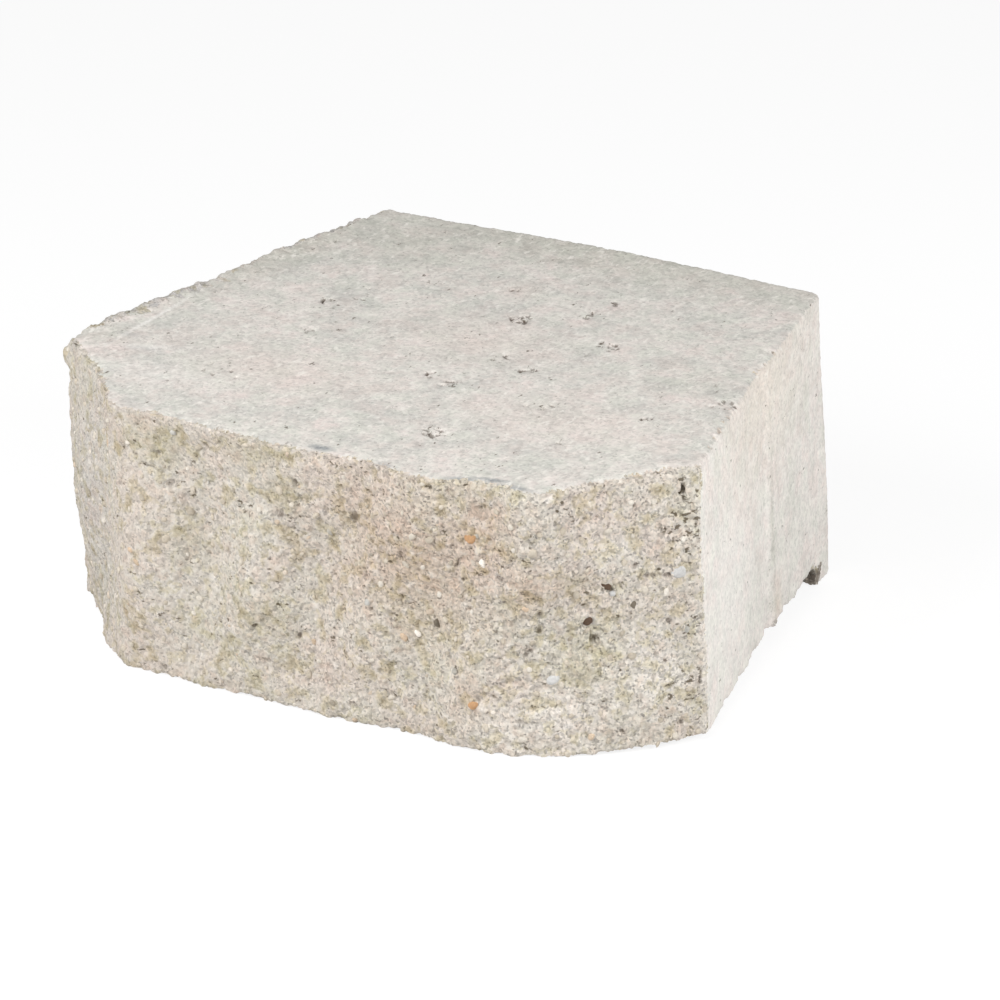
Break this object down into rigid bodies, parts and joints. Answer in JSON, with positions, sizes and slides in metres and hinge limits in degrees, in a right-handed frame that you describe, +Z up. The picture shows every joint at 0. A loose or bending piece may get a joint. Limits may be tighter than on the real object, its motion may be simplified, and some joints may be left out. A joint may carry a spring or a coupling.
{
  "type": "retaining wall block",
  "caption": "Solid concrete garden wall block with a rough split front that turns back at both ends, tapered sides and a rear lip that hooks behind the course below.",
  "frame": {"origin": "on the floor, under the middle of the block's box", "axes": "+X along the wall, to the right as seen from the front; +Y from the split front to the back; +Z up from the floor that the block stands on, leaning on its lip"},
  "size_m": [0.2672, 0.2117, 0.111],
  "materials": {
    "concrete": "dry-cast, matt: split front, moulded sides and top"
  },
  "bodies": {
    "root": {"concrete_block": "concrete"}
  },
  "joints": []
}
